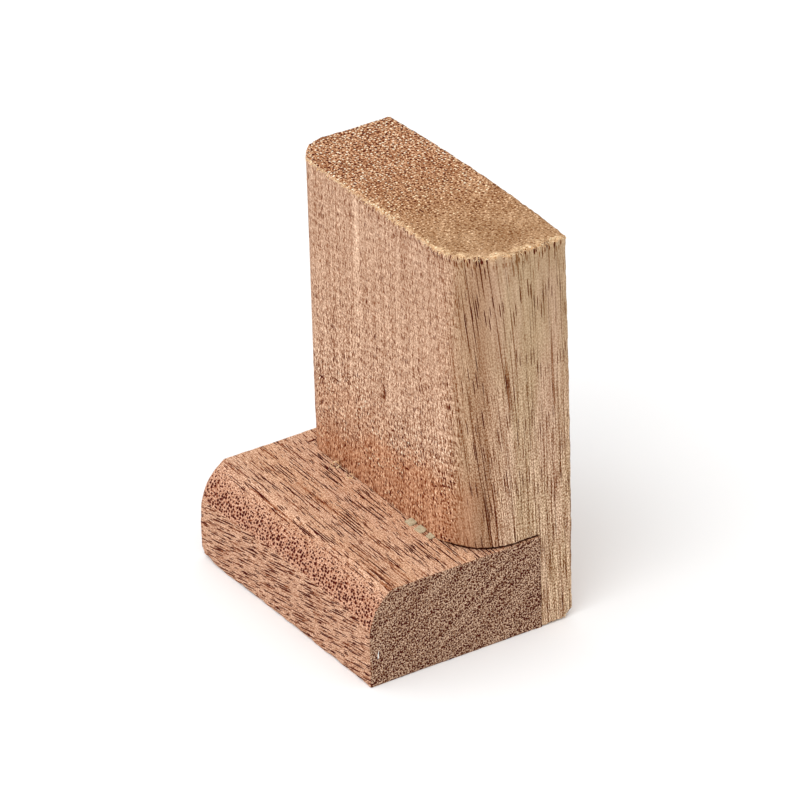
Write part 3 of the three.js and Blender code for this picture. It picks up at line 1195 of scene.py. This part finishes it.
def glue_pad(node, seed, material):
    """A sloping pad of scraped glue in the corner between the foot and the upright."""
    low, high = box_mm(node)
    profile = pad_profile(high[1] - low[1], high[2] - low[2])
    centre = profile.mean(axis=0)
    share = np.linspace(-1, 1, PAD_STEPS + 1)
    size = (1 - np.abs(share) ** 7) ** 0.3
    along = (low[0] + high[0]) / 2 + share * (high[0] - low[0]) / 2
    rows = []
    for x, shrink in zip(along, size):
        ring = centre + (profile - centre) * shrink
        rows.append(np.column_stack([np.full(len(ring), x), high[1] + ring[:, 0], low[2] + ring[:, 1]]))
    points = np.concatenate(rows)
    rough = noise(points, 0.9, seed)
    bumps = noise(points, 0.7, seed + 1)
    points = points + np.column_stack([0.22 * rough, 0.12 * rough, 0.08 * bumps])
    faces = tube_faces(PAD_STEPS + 1, len(profile))
    return make_object(node + "_scraped", points, faces, material, [node])


def glue_fleck(material):
    """A drop of white glue on the foot's right end, near its front."""
    root, way, bend = np.array([[HALF - 0.02, FOOT_FRONT + 2.2, 7.5], [0, 0.05, 1], [0, 0.15, 0]])
    points, faces = fibres(root[None], way[None], bend[None], np.array([2.1]), np.array([0.32]))
    return make_object("glue_fleck", points, faces, material)


# --- Camera, lights and floor ---

# Angles in degrees and lengths in metres, with the lens in mm
CAMERA_AZIMUTH = 57.96
CAMERA_ELEVATION = 29.19
CAMERA_ROLL = -1.723
CAMERA_DISTANCE = 1.6512
CAMERA_LENS = 315.3
CAMERA_AIM = Vector((0, -0.0003, 0.05))
AIM_RIGHT = 0.00429  # how far the aim is moved in the picture, to the right and up
AIM_UP = 0.00061
MIDDLE = Vector((0, 0, 0.05))  # the lights face this point
FLOOR_REACH = 3.0


def direction(azimuth, elevation):
    """The direction out from the block at angles in degrees. Azimuth 0 is towards its front."""
    turn = math.radians(azimuth)
    lift = math.radians(elevation)
    level = math.cos(lift)
    return Vector((math.sin(turn) * level, -math.cos(turn) * level, math.sin(lift)))


def add_camera():
    """A long lens that sees the upright's front and side, the foot's end and the top."""
    back = direction(CAMERA_AZIMUTH, CAMERA_ELEVATION)
    right = direction(CAMERA_AZIMUTH + 90, 0)
    up = back.cross(right)
    roll = math.radians(CAMERA_ROLL)
    turned_right = right * math.cos(roll) + up * math.sin(roll)
    turned_up = up * math.cos(roll) - right * math.sin(roll)
    aim = CAMERA_AIM + turned_right * AIM_RIGHT + turned_up * AIM_UP
    data = bpy.data.cameras.new("camera")
    data.sensor_width = 36
    data.lens = CAMERA_LENS
    data.clip_start = 0.1
    data.clip_end = 20
    camera = placed("camera", data)
    rotation = Matrix((turned_right, turned_up, back)).transposed().to_4x4()
    camera.matrix_world = Matrix.Translation(aim + back * CAMERA_DISTANCE) @ rotation
    bpy.context.scene.camera = camera


def add_softbox(name, azimuth, elevation, distance, size, power):
    """A square light that faces the middle of the block."""
    data = bpy.data.lights.new(name, "AREA")
    data.shape = "SQUARE"
    data.size = size
    data.energy = power
    light = placed(name, data)
    back = direction(azimuth, elevation)
    light.location = MIDDLE + back * distance
    light.rotation_mode = "QUATERNION"
    light.rotation_quaternion = back.to_track_quat("Z", "Y")


def add_world():
    """Even white light from all sides."""
    world = bpy.data.worlds.new("studio")
    world.use_nodes = True
    background = world.node_tree.nodes["Background"]
    background.inputs["Color"].default_value = (1, 1, 1, 1)
    background.inputs["Strength"].default_value = 0.88
    bpy.context.scene.world = world


def add_floor():
    """A plain, pale floor."""
    mesh = bpy.data.meshes.new("floor")
    reach = FLOOR_REACH
    corners = [(-reach, -reach, 0), (reach, -reach, 0), (reach, reach, 0), (-reach, reach, 0)]
    mesh.from_pydata(corners, [], [(0, 1, 2, 3)])
    material = bpy.data.materials.new("floor_white")
    material.use_nodes = True
    principled = material.node_tree.nodes["Principled BSDF"]
    principled.inputs["Base Color"].default_value = (0.96, 0.96, 0.96, 1)
    principled.inputs["Roughness"].default_value = 0.9
    mesh.materials.append(material)
    placed("floor", mesh)


add_camera()
add_world()
add_softbox("key", azimuth=30, elevation=55, distance=1.2, size=0.8, power=6)
add_softbox("fill", azimuth=-40, elevation=20, distance=1.5, size=1.0, power=3.6)
bpy.context.scene.view_settings.view_transform = "Standard"
add_floor()

upright_block(upright_wood())
foot_block(foot_wood())
pale_glue = dried_glue("pale_glue", (176, 160, 130), (196, 182, 152), 0.4)
# The glue film's near black-brown stands partly for the glue and partly as painted shade in the gap of the
# joint.
glue_and_gap_shade = dried_glue("glue_and_gap_shade", (56, 32, 18), (78, 48, 28), 0.1)
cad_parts["glue_film"].data.materials[0] = glue_and_gap_shade
glue_pad("glue_bead_left", 21, pale_glue)
glue_pad("glue_bead_middle", 23, pale_glue)
glue_pad("glue_bead_right", 25, pale_glue)
fibre = torn_fibre()
burr_fibres(fibre)
hem_fibres(fibre)
corner_hairs(fibre)
shaving("shaving_left", -18.4, 1.22, 1.1, fibre)
shaving("shaving_right", -12.2, 0.94, 0.9, fibre)
glue_fleck(white_glue())
